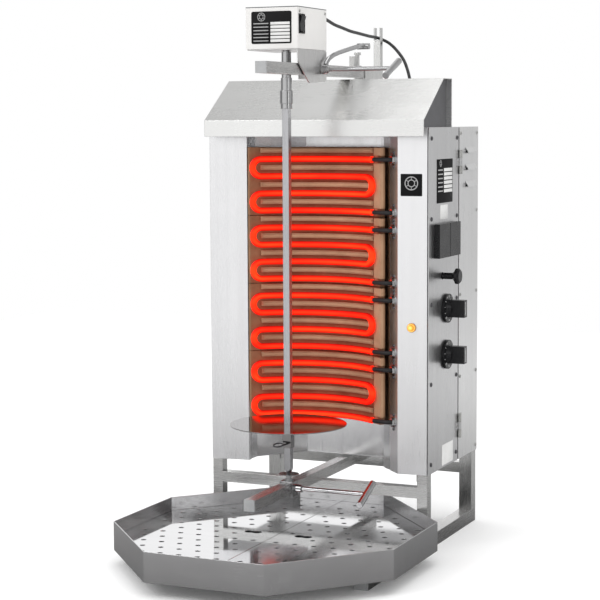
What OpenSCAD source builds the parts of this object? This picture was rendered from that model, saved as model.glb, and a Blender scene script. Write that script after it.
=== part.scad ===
// Vertical rotisserie broiler: heated cabinet, spit, motor arm and drip tray.
// X is to the right, Y is away from the user, Z is up; the floor is z = 0.
// The origin is under the middle of the whole appliance.

/* [Frame] */
// Width across the base rails and the cabinet
frame_w = 436; // [420:2:460]
// Side of the square base rails and rear legs
rail_side = 25; // [25:1:30]
// Side of the square tubes of the portal and the two arms
tube_side = 20; // [20:1:22]
// Wall thickness of the square tubes
tube_wall = 1.5; // [1:0.5:2]
// Height of the underside of the two cross beams
beam_z = 97; // [92:1:100]

/* [Cabinet] */
// Underside of the cabinet above the floor
cabinet_bottom = 141; // [140:1:150]
// Height of the cabinet shell
cabinet_h = 631; // [620:1:640]
// Sheet metal thickness
sheet_t = 1.5; // [1:0.5:2]
// Height of the hood above the cabinet
hood_h = 89; // [80:1:95]

/* [Heater] */
// Radius of the heating tubes about the spit axis
element_r = 176; // [170:1:176]
// Diameter of the heating tubes
element_d = 12; // [8:0.5:12]
// Vertical distance from one heating run to the next
run_pitch = 32; // [31:0.5:32]
// Height of the highest heating run
top_run_z = 714; // [708:1:716]

/* [Spit] */
// Side of the square spit bar
spit_side = 12; // [10:1:13]
// Diameter of the meat plate
plate_d = 210; // [150:5:240]
// Height of the meat plate
plate_z = 242; // [230:1:260]

/* [Drip tray] */
// Half width of the tray across its side walls
tray_half_w = 267; // [260:1:270]
// Height of the tray wall
tray_h = 52; // [45:1:55]

/* [Hidden] */
$fn = 48;

// Depths, all measured from the origin
spit_y = -34;
rail_front = spit_y - 160;
rail_back = spit_y + 408;
cabinet_front = spit_y + 131;
cabinet_back = spit_y + 410;
portal_y = spit_y + 130;
rear_beam_y = rail_back - (rail_side + tube_side) / 2;

// Heights
cabinet_top = cabinet_bottom + cabinet_h;
arm_z = beam_z + tube_side;
upper_arm_z = 865;
motor_z = 910;

pin_z = plate_z - 34;

// Half widths
half_w = frame_w / 2;
gap = 0.3;

// The heating chamber in plan, seen from above, relative to the spit axis
chamber = [[-146, 152], [-146, 176], [-78, 262], [78, 262], [119, 167], [138, 150]];
box_front = [[138, 150], [162, 125], [half_w - sheet_t, 131], [half_w - sheet_t, 143]];

// Heating elements: four, each with four runs
element_count = 4;
runs = 4;
element_pitch = runs * run_pitch;
left_end = 40.5;
right_end = 31.6;
lead_start = 35.5;
wall_point = [150, 137.5];
wall_normal = [0.72, 0.694];
lead_d = 8;
knee = wall_point - 11 * wall_normal;
lead_from = element_r * [sin(lead_start), cos(lead_start)];

// Ceramic tiles
tile_in = 190;
tile_out = 200;
rib_in = 181;
lip_in = 183;
tile_left = 46;
tile_right = 38.5;
lip_right = 43.5;
rib_left = 39;
rib_right = 34;

// Controls on the side door
door_front = cabinet_front;
door_back = spit_y + 294;
hinge_x = half_w + 4.5;
hinge_y = spit_y + 297;
hinge_zs = [184, 684];
knob_y = spit_y + 228;
knob_zs = [438, 352];
push_y = spit_y + 206;
push_z = 500;
flap_w = 57;
flap_h = 62;
flap_z = 535;
flap_ys = [spit_y + 159, spit_y + 218];
flap_depth = 11;

// Motor carriage
motor_x0 = -64;
motor_x1 = 36;
motor_y0 = spit_y - 30;
motor_y1 = spit_y + 96;
motor_top = 983;
upper_arm_x = 22;
bracket_x = upper_arm_x + tube_side / 2 + 1.5;
clamp_d = 8;
upper_clamp_y = spit_y + 76;
upper_clamp_z = upper_arm_z + 11;
lower_clamp_z = arm_z + tube_side / 2;
handle_tilt = 23;
boss_d = 13;
sleeve_d = 17;
shaft_d = 12;

// Tray outline, counter-clockwise, and the plane its perforated insert lies in
tray_z = rail_side;
tray_front = -376;
tray_outline = [
    [-110, tray_front], [110, tray_front], [tray_half_w, -202], [tray_half_w, 14],
    [88, 214], [-88, 214], [-tray_half_w, 14], [-tray_half_w, -202]
];
insert_z = 50;
hole_d = 9;
hole_step = 36;

// Mains lead: gland, route along the floor, coil and plug
cord_d = 11;
gland_at = [196, 131];
coil_at = [-10, 283];
coil_r = 60.5;
plug_end = [-70, 349, 27];
cord_route = [
    [196, 131, 114], [196, 131, 100], [195, 132, 86], [192, 135, 72], [188, 140, 58],
    [184, 146, 44], [180, 154, 31], [176, 164, 20], [172, 177, 12], [167, 191, 8],
    [158, 204, 6], [145, 214, 6], [129, 221, 6], [112, 226, 6], [95, 233, 6],
    [80, 243, 6], [68, 256, 6], [60, 270, 6], [56, 283, 6]
];

// Motor lead: from the motor housing through the fork of the post into the cabinet
lead_route = [
    [30, 62, 967], [30, 70, 967], [29, 90, 964], [28, 120, 959], [27, 160, 955], [26, 200, 951],
    [25, 240, 949], [24, 280, 947], [22, 310, 946], [22, 335, 945.5], [22, 347, 945],
    [22.6, 356, 944], [26.5, 365, 941.5], [36, 371, 936], [48, 372, 926], [60, 368.5, 914],
    [72, 361, 901], [82, 352, 885], [91, 342, 866], [97, 333, 846], [101, 324, 826],
    [103, 318, 806], [104, 315, 792], [104, 314, 784]
];
lead_cable_d = 6;

// ---------- helpers ----------

// Square tube along Y from y0 to y1, its lower left corner at x0, z0
module tube_y(x0, z0, y0, y1, side) {
    difference() {
        translate([x0, y0, z0]) cube([side, y1 - y0, side]);
        translate([x0 + tube_wall, y0 - 1, z0 + tube_wall])
            cube([side - 2 * tube_wall, y1 - y0 + 2, side - 2 * tube_wall]);
    }
}

// Square tube along X from x0 to x1
module tube_x(x0, x1, y0, z0, side) {
    difference() {
        translate([x0, y0, z0]) cube([x1 - x0, side, side]);
        translate([x0 - 1, y0 + tube_wall, z0 + tube_wall])
            cube([x1 - x0 + 2, side - 2 * tube_wall, side - 2 * tube_wall]);
    }
}

// Square tube standing up from z0 to z1
module tube_z(x0, y0, z0, z1, side) {
    difference() {
        translate([x0, y0, z0]) cube([side, side, z1 - z0]);
        translate([x0 + tube_wall, y0 + tube_wall, z0 - 1])
            cube([side - 2 * tube_wall, side - 2 * tube_wall, z1 - z0 + 2]);
    }
}

// Cylinder along +X from x0
module rod_x(x0, y, z, d, l) {
    translate([x0, y, z]) rotate([0, 90, 0]) cylinder(d = d, h = l);
}

// Cylinder between two points
module rod_between(a, b, d) {
    v = b - a;
    translate(a)
        rotate([0, acos(v.z / norm(v)), atan2(v.y, v.x)])
            cylinder(d = d, h = norm(v));
}

// A bent sheet: the polyline made t thick on its left side
function segment_normal(a, b) = [-(b - a).y, (b - a).x] / norm(b - a);
function side_point(pts, i, t) =
    let (before = segment_normal(pts[max(i - 1, 0)], pts[max(i, 1)]),
         after = segment_normal(pts[min(i, len(pts) - 2)], pts[min(i + 1, len(pts) - 1)]))
    pts[i] + (before + after) * t / (1 + before * after);
function band(pts, t) = concat(pts, [for (i = [len(pts) - 1 : -1 : 0]) side_point(pts, i, t)]);
module bent_sheet(pts, t, z0, z1) {
    translate([0, 0, z0]) linear_extrude(z1 - z0) polygon(band(pts, t));
}

// Ring sector about the spit axis; angles run from the back towards the right
function arc_points(r, from, to) =
    let (n = ceil(abs(to - from) / 3))
    [for (k = [0 : n]) let (a = from + (to - from) * k / n) r * [sin(a), cos(a)]];
module sector(r0, r1, left, right, z0, h) {
    translate([0, spit_y, z0])
        linear_extrude(h)
            polygon(concat(arc_points(r0, -left, right), arc_points(r1, right, -left)));
}

// Round rod or cord swept along a route of points; d holds one diameter per point
function unit(v) = v / norm(v);
function tangent(pts, i) = unit(pts[min(i + 1, len(pts) - 1)] - pts[max(i - 1, 0)]);
function side_of(t) = abs(t.z) > 0.8 ? unit(cross(t, [0, 1, 0])) : unit(cross(t, [0, 0, 1]));
function carried(s, t) = unit(s - (s * t) * t);
function sides_along(pts) = [
    for (i = 0, s = side_of(tangent(pts, 0)); i < len(pts);
        i = i + 1, s = i < len(pts) ? carried(s, tangent(pts, i)) : s) s
];
function ring(p, t, u, d, n) =
    [for (k = [0 : n - 1]) p + d / 2 * (cos(360 * k / n) * u + sin(360 * k / n) * cross(t, u))];
module swept(pts, d, n) {
    m = len(pts);
    u = sides_along(pts);
    points = [for (i = [0 : m - 1]) each ring(pts[i], tangent(pts, i), u[i], d[i], n)];
    walls = [for (i = [0 : m - 2]) for (k = [0 : n - 1])
        let (a = i * n + k, b = i * n + (k + 1) % n) [a, a + n, b + n, b]];
    caps = [[for (k = [0 : n - 1]) k], [for (k = [n - 1 : -1 : 0]) (m - 1) * n + k]];
    polyhedron(points, concat(walls, caps));
}
module swept_cord(pts, d) {
    swept(pts, [for (p = pts) d], 8);
}

// ---------- frame ----------

module base_rails() {
    color("silver")
        for (x = [-half_w, half_w - rail_side])
            tube_y(x, 0, rail_front, rail_back, rail_side);
}

module tube_caps() {
    cap = 3;
    color("gray") {
        for (x = [-half_w, half_w - rail_side])
            translate([x, rail_front - cap, 0]) cube([rail_side, cap, rail_side]);
        translate([-tube_side / 2, spit_y - 166, arm_z]) cube([tube_side, cap, tube_side]);
        translate([upper_arm_x - tube_side / 2, spit_y - 153, upper_arm_z])
            cube([tube_side, cap, tube_side]);
    }
}

module cross_frame() {
    color("silver") {
        for (x = [-half_w, half_w - tube_side])
            tube_z(x, portal_y, rail_side, cabinet_bottom, tube_side);
        tube_x(-half_w + tube_side, half_w - tube_side, portal_y, beam_z, tube_side);
        tube_x(-half_w + rail_side, half_w - rail_side, rear_beam_y, beam_z, tube_side);
    }
}

module rear_legs() {
    color("silver")
        for (x = [-half_w, half_w - rail_side])
            tube_z(x, rail_back - rail_side, rail_side, cabinet_bottom + 200, rail_side);
}

module lower_arm() {
    color("silver")
        tube_y(-tube_side / 2, arm_z, spit_y - 163, rear_beam_y + tube_side, tube_side);
}

// ---------- cabinet ----------

module at_spit() {
    translate([0, spit_y, 0]) children();
}

module left_side_panel() {
    outer = -half_w - sheet_t;
    path = [[outer, 408.5], [outer, 131], [-146, 140], [-146, 150.5]];
    color("gainsboro") at_spit() bent_sheet(path, sheet_t, cabinet_bottom, cabinet_top);
}

module chamber_sheet() {
    rib_top = top_run_z + 22;
    rib_bottom = rib_top - element_count * element_pitch;
    color("lightgray") at_spit() {
        bent_sheet(chamber, sheet_t, cabinet_bottom + sheet_t, cabinet_top - sheet_t);
        for (x = [-60, 60])
            translate([x - 1, sqrt(tile_out ^ 2 - 59 ^ 2) + 1, rib_bottom])
                cube([2, 262.5 - sqrt(tile_out ^ 2 - 59 ^ 2) - 1, rib_top - rib_bottom]);
    }
}

module control_box_front() {
    color("whitesmoke") at_spit()
        difference() {
            bent_sheet(box_front, sheet_t, cabinet_bottom, cabinet_top);
            for (e = [0 : element_count - 1])
                for (r = [0, runs - 1])
                    translate([wall_point.x, wall_point.y, run_z(e, r)])
                        rotate([0, 90, atan2(wall_normal.y, wall_normal.x)])
                            cylinder(d = 12, h = 12, center = true);
            translate([188, 128, 411]) rotate([90, 0, 0]) cylinder(d = 10.4, h = 20, center = true);
        }
}

module louvre_panel() {
    color("gainsboro") at_spit() {
        difference() {
            translate([half_w, 299, cabinet_bottom]) cube([sheet_t, 111, cabinet_h]);
            for (z = [658, 690, 722])
                translate([half_w - 1, 335, z + 1]) cube([sheet_t + 2, 51, 8]);
        }
        for (z = [658, 690, 722])
            louvre_tongue(z);
    }
}

module louvre_tongue(z) {
    profile = [[0, 12], [0, 10.5], [6, 2.5], [6, 0], [7, 0], [7, 3], [1, 12]];
    translate([half_w + sheet_t - 0.5, 388, z])
        rotate([90, 0, 0])
            linear_extrude(55) polygon(profile);
}

module cabinet_shell() {
    deck = concat(
        [[half_w, 408.5], [-half_w, 408.5], [-half_w, 133]],
        [[-147.5, 142], [-147.5, 177], [-79, 263.5], [79, 263.5], [120.5, 168]],
        [[139.5, 151], [163, 127], [half_w - 2 * sheet_t, 133], [half_w - 2 * sheet_t, 143.5]],
        [[half_w, 143.5]]);
    color("lightgray") at_spit()
        difference() {
            union() {
                for (z = [cabinet_bottom, cabinet_top - sheet_t])
                    translate([0, 0, z]) linear_extrude(sheet_t) polygon(deck);
                translate([-half_w, 408.5, cabinet_bottom]) cube([frame_w, sheet_t, cabinet_h]);
            }
            for (x = [-half_w - 1, half_w - rail_side - 0.5])
                translate([x, 408 - rail_side - 0.5, cabinet_bottom - 1])
                    cube([rail_side + 1.5, rail_side + 0.8, sheet_t + 2]);
            translate([gland_at.x, gland_at.y - spit_y, cabinet_bottom - 1])
                cylinder(d = 16.4, h = sheet_t + 2);
            translate([104, 348, cabinet_top - sheet_t - 1]) cylinder(d = 10.4, h = sheet_t + 2);
            translate([upper_arm_x - 8, 379, cabinet_top - sheet_t - 1]) cube([16, 14, sheet_t + 2]);
        }
}

module hood() {
    profile = [
        [107, cabinet_top - 16], [107, cabinet_top + 14], [213, cabinet_top + hood_h],
        [259, cabinet_top + hood_h], [259, cabinet_top]
    ];
    color("gainsboro") at_spit()
        translate([half_w, 0, 0]) rotate([90, 0, -90])
            mirror([1, 0, 0])
                linear_extrude(frame_w)
                    polygon([for (p = band(profile, -sheet_t)) [p.x, p.y]]);
}

module hood_cheeks() {
    inset = 10;
    clear = sheet_t + 0.1;
    profile = [
        [107 + clear, cabinet_top + 0.2], [107 + clear, cabinet_top + 13], [213, cabinet_top + hood_h - 2],
        [259 - clear, cabinet_top + hood_h - 2], [259 - clear, cabinet_top + 0.2]
    ];
    color("dimgray") at_spit()
        for (x = [-half_w + inset + sheet_t, half_w - inset])
            translate([x, 0, 0]) rotate([90, 0, -90])
                mirror([1, 0, 0]) linear_extrude(sheet_t) polygon(profile);
}

module door_hinges() {
    color("silver")
        for (z = hinge_zs) {
            translate([hinge_x, hinge_y, z]) cylinder(d = 4, h = 45);
            for (k = [0, 30])
                translate([hinge_x, hinge_y, z + k])
                    difference() {
                        union() {
                            cylinder(d = 7, h = 15);
                            translate([-3, 0, 0]) cube([1.5, 16, 15]);
                        }
                        translate([0, 0, -1]) cylinder(d = 4, h = 17);
                    }
        }
}

module pilot_lamp() {
    color("orange") at_spit()
        translate([188, 127.2, 411]) rotate([90, 0, atan2(6, 56)]) {
            cylinder(d = 14, h = 4);
            translate([0, 0, 4]) intersection() {
                sphere(d = 12);
                cylinder(d = 12, h = 6);
            }
            translate([0, 0, -22]) cylinder(d = 10, h = 22);
        }
}

module terminal_block() {
    color("ivory")
        translate([150, 260, cabinet_bottom + sheet_t + 20])
            difference() {
                cube([22, 80, 26]);
                for (k = [0 : 4])
                    translate([11, 8 + 16 * k, 14]) cylinder(d = 5, h = 13);
            }
}

// ---------- heater ----------

function run_z(e, r) = top_run_z - e * element_pitch - r * run_pitch;
function ring_point(deg, z) = [element_r * sin(deg), element_r * cos(deg), z];
function run_points(from, to, z) =
    [for (k = [0 : 10]) ring_point(from + (to - from) * k / 10, z)];

// Half circle down from one run to the next; way is +1 at the right and -1 at the left
function bend_points(deg, z, way) =
    let (along = way * [cos(deg), -sin(deg), 0], r = run_pitch / 2)
    [for (a = [20 : 20 : 160]) ring_point(deg, z - r + r * cos(a)) + r * sin(a) * along];

// From behind the terminal wall to the start of a run
function lead_points(z) =
    let (inside = [wall_point.x + 24 * wall_normal.x, wall_point.y + 24 * wall_normal.y, z],
         corner = [knee.x, knee.y, z],
         last = ring_point(lead_start + 3, z),
         from = corner + 4.5 * unit(inside - corner),
         to = corner + 4.5 * unit(last - corner))
    concat([inside], [for (k = [0 : 0.25 : 1])
        (1 - k) ^ 2 * from + 2 * k * (1 - k) * corner + k ^ 2 * to], [last]);
function backwards(pts) = [for (i = [len(pts) - 1 : -1 : 0]) pts[i]];
function element_route(e) = concat(
    lead_points(run_z(e, 0)),
    run_points(lead_start, -left_end, run_z(e, 0)),
    bend_points(-left_end, run_z(e, 0), -1),
    run_points(-left_end, right_end, run_z(e, 1)),
    bend_points(right_end, run_z(e, 1), 1),
    run_points(right_end, -left_end, run_z(e, 2)),
    bend_points(-left_end, run_z(e, 2), -1),
    run_points(-left_end, lead_start, run_z(e, 3)),
    backwards(lead_points(run_z(e, 3))));

module heating_element(e) {
    route = element_route(e);
    cold = len(lead_points(0));
    color("orangered") at_spit()
        swept(route, [for (i = [0 : len(route) - 1])
            i < cold || i >= len(route) - cold ? lead_d : element_d], 10);
}
module element_1() { heating_element(0); }
module element_2() { heating_element(1); }
module element_3() { heating_element(2); }
module element_4() { heating_element(3); }

// One tile: a plate with a lip at its right edge and a rib above each run
module ceramic_tile(e) {
    top = run_z(e, 0) + 22;
    bottom = top - element_pitch + 1;
    mid = (tile_in + tile_out) / 2;
    color("tan")
        difference() {
            union() {
                sector(tile_in, tile_out, tile_left, tile_right, bottom, element_pitch - 1);
                sector(lip_in, tile_in + 2, -lead_start, lip_right, bottom + 3, element_pitch - 5);
                for (r = [0 : runs - 1])
                    tile_rib(run_z(e, r) + run_pitch / 2, mid);
            }
            for (r = [0, runs - 1])
                lead_notch(run_z(e, r));
        }
}
module tile_rib(z, mid) {
    sector(rib_in, mid, rib_left, rib_right, z - 2.5, 5);
    sector(rib_in + 1.5, mid, rib_left + 0.7, rib_right + 0.4, z - 4.5, 9);
}
module lead_notch(z) {
    at_spit()
        translate([0, 0, z - 7]) linear_extrude(14)
            polygon([[100, 132], [100, 151], [118, 151], [160, 141], [160, 118]]);
}

module tile_1() { ceramic_tile(0); }
module tile_2() { ceramic_tile(1); }
module tile_3() { ceramic_tile(2); }
module tile_4() { ceramic_tile(3); }

module terminal_bushings() {
    color("silver") at_spit()
        for (e = [0 : element_count - 1])
            for (r = [0, runs - 1])
                translate([wall_point.x, wall_point.y, run_z(e, r)])
                    rotate([0, -90, atan2(wall_normal.y, wall_normal.x)])
                        difference() {
                            union() {
                                translate([0, 0, 0.1]) cylinder(d = 20, h = 1.4);
                                translate([0, 0, 1.5]) cylinder(d = 17, h = 4.5, $fn = 6);
                                translate([0, 0, -2.2]) cylinder(d = 11.8, h = 3);
                                translate([0, 0, -6.7]) cylinder(d = 17, h = 4.5, $fn = 6);
                            }
                            translate([0, 0, -8]) cylinder(d = lead_d + 0.4, h = 16);
                        }
}

// ---------- upper arm ----------

module arm_post() {
    x0 = upper_arm_x - tube_side / 2;
    post_w = 14;
    post_x = upper_arm_x - post_w / 2;
    post_y = 380;
    post_bottom = 560;
    fork_z = 938;
    color("silver") at_spit() {
        difference() {
            translate([post_x, post_y, post_bottom]) cube([post_w, 12, fork_z - gap - post_bottom]);
            translate([post_x + 2, post_y + 2, post_bottom - 1]) cube([post_w - 4, 11, 406]);
        }
        difference() {
            translate([post_x, post_y, fork_z]) cube([post_w, 12, 26]);
            translate([post_x + 2, post_y - 1, fork_z + 2]) cube([post_w - 4, 14, 30]);
        }
        difference() {
            translate([x0 - 2, 290, upper_arm_z - 2]) cube([tube_side + 4, 90.5, tube_side + 4]);
            translate([x0 - gap, 289, upper_arm_z - gap])
                cube([tube_side + 2 * gap, 89, tube_side + 2 * gap]);
        }
        for (z = [600, 700])
            translate([post_x, post_y + 11, z]) cube([post_w, 17.5, 20]);
    }
}

module upper_arm() {
    color("silver")
        tube_y(upper_arm_x - tube_side / 2, upper_arm_z, spit_y - 150, spit_y + 377, tube_side);
}

module arm_stop() {
    top = upper_arm_z + tube_side;
    color("silver") at_spit() {
        translate([upper_arm_x - 5, 250, top]) cube([10, 12, 20]);
        translate([upper_arm_x, 278, top]) cylinder(d = 16, h = 3);
        translate([upper_arm_x, 278, top + 3]) cylinder(d = 8, h = 20);
        translate([upper_arm_x, 278, top + 23]) cylinder(d = 14, h = 5, $fn = 6);
    }
}

module cable_glands() {
    color("dimgray") {
        translate([gland_at.x, gland_at.y, cabinet_bottom - 27])
            difference() {
                union() {
                    translate([0, 0, 8]) cylinder(d = 22, h = 18.9);
                    cylinder(d1 = 14.5, d2 = 18, h = 8);
                    translate([0, 0, 26.8]) cylinder(d = 16, h = 8);
                }
                translate([0, 0, -1]) cylinder(d = cord_d, h = 40);
            }
        translate([104, 314, cabinet_top + 0.1])
            difference() {
                union() {
                    cylinder(d = 15, h = 7);
                    translate([0, 0, 7]) cylinder(d1 = 13, d2 = 9, h = 6);
                    translate([0, 0, -6]) cylinder(d = 10, h = 7);
                }
                translate([0, 0, -7]) cylinder(d = lead_cable_d + 0.6, h = 30);
            }
    }
}

module motor_cable() {
    color("black") swept_cord(lead_route, lead_cable_d);
}

module mains_cable() {
    color("black") swept_cord(cord_route, cord_d);
}

module mains_coil() {
    color("black")
        translate([coil_at.x, coil_at.y, 0])
            rotate_extrude($fn = 64)
                translate([coil_r - cord_d, 0.3]) square([2 * cord_d, 2 * cord_d - 0.6]);
}

module mains_plug() {
    color("black") {
        translate(plug_end) rotate([0, -90, 0]) {
            cylinder(d = 18, h = 10);
            translate([0, 0, 10]) cylinder(d1 = 30, d2 = 46, h = 28);
            translate([0, 0, 38]) cylinder(d = 54, h = 45);
        }
        rod_between([-28, 349, 17], plug_end, cord_d);
    }
}

// ---------- spit and its lower carriage ----------

module saddle() {
    inner = tube_side / 2 + gap;
    outer = inner + 2.5;
    color("silver") at_spit() {
        difference() {
            union() {
                translate([-outer, -12, arm_z - 5]) cube([2 * outer, 24, tube_side + 8]);
                rod_x(outer - 0.5, 0, lower_clamp_z, 14, 14);
            }
            translate([-inner, -13, arm_z - 6]) cube([2 * inner, 26, tube_side + 6 + gap]);
            rod_x(inner - 1, 0, lower_clamp_z, clamp_d + 0.1, 40);
        }
    }
}

module foot_bearing() {
    base = arm_z + tube_side + 3;
    color("silver") at_spit()
        difference() {
            union() {
                translate([0, 0, base]) cylinder(d = 14, h = 3);
                translate([0, 0, base + 3]) cylinder(d = 10, h = 8);
                translate([0, 0, base + 11]) cylinder(d = 37, h = 1.4);
            }
            translate([0, 0, base + 8]) cylinder(d1 = 1, d2 = 6.4, h = 4.4 + 0.01);
        }
}

// Clamp screw along +X with a cross bar at its end
module clamp_screw(x0, y, z, l) {
    bar_l = 70;
    rod_x(x0, y, z, clamp_d, l);
    translate([x0 + l, y, z])
        rotate([handle_tilt, 0, 0]) rotate([90, 0, 0])
            translate([0, 0, -bar_l / 2]) cylinder(d = 12, h = bar_l);
}

module lower_clamp() {
    color("silver")
        clamp_screw(tube_side / 2 + gap, spit_y, lower_clamp_z, 140);
}

module spit_bar() {
    tip_z = 148.1;
    top_z = 826;
    color("lightgray") at_spit()
        difference() {
            intersection() {
                translate([-spit_side / 2, -spit_side / 2, tip_z])
                    cube([spit_side, spit_side, top_z - tip_z]);
                union() {
                    translate([0, 0, tip_z]) cylinder(d1 = 0.6, d2 = 22, h = 18);
                    translate([0, 0, tip_z + 18]) cylinder(d = 22, h = top_z - tip_z - 20);
                    translate([0, 0, top_z - 2]) cylinder(d1 = 22, d2 = 14, h = 2);
                }
            }
            translate([0, -20, pin_z]) rotate([-90, 0, 0]) cylinder(d = 3.4, h = 40);
        }
}

module meat_plate() {
    hub = spit_side + 4;
    hole = spit_side + 0.4;
    color("lightgray") at_spit()
        difference() {
            union() {
                translate([0, 0, plate_z]) cylinder(d = plate_d, h = 1.5, $fn = 96);
                translate([-hub / 2, -hub / 2, plate_z - 42]) cube([hub, hub, 42.5]);
            }
            translate([-hole / 2, -hole / 2, plate_z - 43]) cube([hole, hole, 46]);
            translate([0, -20, pin_z]) rotate([-90, 0, 0]) cylinder(d = 3.4, h = 40);
        }
}

module plate_pin() {
    color("dimgray") at_spit()
        translate([0, 0, pin_z]) {
            translate([0, -26, 0]) rotate([-90, 0, 0]) cylinder(d = 3, h = 46);
            translate([-9, -25, 0]) rotate([12, 0, 0])
                rotate_extrude($fn = 32) translate([8.5, 0]) circle(d = 2.4, $fn = 16);
        }
}

// ---------- motor carriage ----------

module motor_bracket() {
    plate = [[-29, 908], [97, 908], [97, 858], [93, 854.5], [24, 851], [18, 852.5], [-27, 887], [-29, 892]];
    left_x = upper_arm_x - tube_side / 2 - gap - 2;
    color("lightgray") at_spit()
        difference() {
            union() {
                translate([bracket_x + 2, 0, 0]) rotate([90, 0, -90])
                    mirror([1, 0, 0]) linear_extrude(2) polygon(plate);
                translate([motor_x0 + 2, -28, 907.9]) cube([bracket_x - motor_x0, 122, 2]);
                translate([left_x, 30, 858]) cube([2, 64, 51]);
                translate([left_x, 36, upper_arm_z + tube_side + gap])
                    cube([bracket_x - left_x + 1, 54, 22.8]);
                rod_x(bracket_x + 1, upper_clamp_y - spit_y, upper_clamp_z, boss_d, 16);
            }
            rod_x(bracket_x - 1, upper_clamp_y - spit_y, upper_clamp_z, clamp_d + 0.1, 30);
            translate([0, 0, 900]) cylinder(d = sleeve_d + 3, h = 20);
        }
}

module motor_housing() {
    t = sheet_t;
    size = [motor_x1 - motor_x0, motor_y1 - motor_y0, motor_top - 1.5 - motor_z];
    color("whitesmoke")
        difference() {
            translate([motor_x0, motor_y0, motor_z]) cube(size);
            translate([motor_x0 + t, motor_y0 + t, motor_z + t]) cube(size - [2 * t, 2 * t, 0]);
            translate([0, spit_y, motor_z - 1]) cylinder(d = sleeve_d + 3, h = 5);
            translate([motor_x1 - 5, spit_y - 24, 938]) cube([10, 20, 30]);
            translate([30, motor_y1 - 3, 967]) rotate([-90, 0, 0]) cylinder(d = lead_cable_d + 2, h = 6);
        }
}

module motor_lid() {
    t = sheet_t;
    size = [motor_x1 - motor_x0, motor_y1 - motor_y0];
    color("gray") {
        translate([motor_x0, motor_y0, motor_top - t]) cube([size.x, size.y, t]);
        difference() {
            translate([motor_x0 + t + 0.2, motor_y0 + t + 0.2, motor_top - 10])
                cube([size.x - 2 * t - 0.4, size.y - 2 * t - 0.4, 10]);
            translate([motor_x0 + 2 * t + 0.2, motor_y0 + 2 * t + 0.2, motor_top - 11])
                cube([size.x - 4 * t - 0.4, size.y - 4 * t - 0.4, 12 - t]);
        }
    }
}

module gearmotor() {
    color("dimgray") at_spit()
        difference() {
            union() {
                translate([-34, -24, 933]) cube([59, 52, 30]);
                translate([-3, 30, 948]) rotate([-90, 0, 0]) cylinder(d = 44, h = 48);
                translate([-20, 28, 936]) cube([34, 4, 26]);
            }
            translate([0, 0, 930]) cylinder(d = shaft_d + 0.2, h = 25);
        }
}

// Rocker in the side of the motor housing, tipped one way or the other about its middle
module motor_switch() {
    profile = [[-5, -11], [-5, 11], [0, 13], [5.5, 13], [1.5, 0], [2.5, -13], [0, -13]];
    color("black") at_spit()
        translate([motor_x1, -6, 953]) rotate([90, 0, 0]) {
            linear_extrude(17) polygon(profile);
            translate([0, 0, -1]) cylinder(d = 4, h = 18.7);
        }
}

module upper_clamp() {
    color("silver")
        clamp_screw(upper_arm_x + tube_side / 2 + gap, upper_clamp_y, upper_clamp_z, 138);
}

module clamp_lever() {
    eye_x = bracket_x + 4;
    mid = eye_x + 5;
    bend = [[mid, 43, 884], [mid, 47, 889], [mid, 58, 896], [mid, 80, 903], [mid, 104, 908],
        [mid, 135, 913], [mid, 168, 918], [mid, 200, 922.5], [mid, 222, 925.5]];
    color("silver")
        difference() {
            union() {
                rod_x(eye_x, upper_clamp_y, upper_clamp_z, boss_d + 5, 10);
                swept(bend, [for (p = bend) 8.4], 12);
                rod_x(mid - 13, 226, 923.5, 11.5, 24);
            }
            rod_x(eye_x - 1, upper_clamp_y, upper_clamp_z, boss_d + 0.2, 12);
        }
}

module motor_shaft() {
    color("silver") at_spit() {
        translate([0, 0, 866]) cylinder(d = shaft_d, h = 88);
        rod_x(-8, 0, 896, 4, 16);
    }
}

module drive_sleeve() {
    color("silver") at_spit()
        difference() {
            union() {
                translate([0, 0, 806]) cylinder(d = 21, h = 9);
                translate([0, 0, 815]) cylinder(d = 24, h = 23);
                translate([0, 0, 838]) cylinder(d = 20, h = 22);
                translate([0, 0, 860]) cylinder(d = sleeve_d, h = 46);
            }
            translate([-spit_side / 2 - 0.3, -spit_side / 2 - 0.3, 805])
                cube([spit_side + 0.6, spit_side + 0.6, 47]);
            translate([0, 0, 850]) cylinder(d = shaft_d + 0.2, h = 60);
            for (z = [872, 896])
                rod_x(-12, 0, z, 4.4, 24);
            translate([-12, -2.2, 872]) cube([24, 4.4, 24]);
        }
}

// ---------- side door and controls ----------

module door() {
    color("silver") {
        difference() {
            translate([half_w, door_front, cabinet_bottom])
                cube([sheet_t, door_back - door_front, cabinet_h]);
            for (z = knob_zs)
                rod_x(half_w - 1, knob_y, z, 9, 5);
            rod_x(half_w - 1, push_y, push_z, 14, 5);
            for (y = flap_ys)
                translate([half_w - 1, y + 14, flap_z + 14]) cube([5, flap_w - 28, flap_h - 28]);
        }
        for (z = hinge_zs)
            translate([hinge_x, hinge_y, z + 15.2])
                difference() {
                    union() {
                        cylinder(d = 7, h = 14.6);
                        translate([-3.5, -16, 0]) cube([2, 16, 14.6]);
                    }
                    translate([0, 0, -1]) cylinder(d = 4.1, h = 17);
                }
    }
}

module door_screws() {
    rows = [[752, 145], [607, 145], [452, 145], [306, 145], [158, 145],
        [752, 285], [607, 285], [452, 285], [306, 285], [158, 285]];
    color("gray")
        for (p = rows)
            translate([half_w + sheet_t, spit_y + p.y, p.x]) rotate([0, 90, 0])
                intersection() {
                    cylinder(d = 8, h = 2.6);
                    translate([0, 0, -3.2]) sphere(d = 11.4);
                }
}

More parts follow.
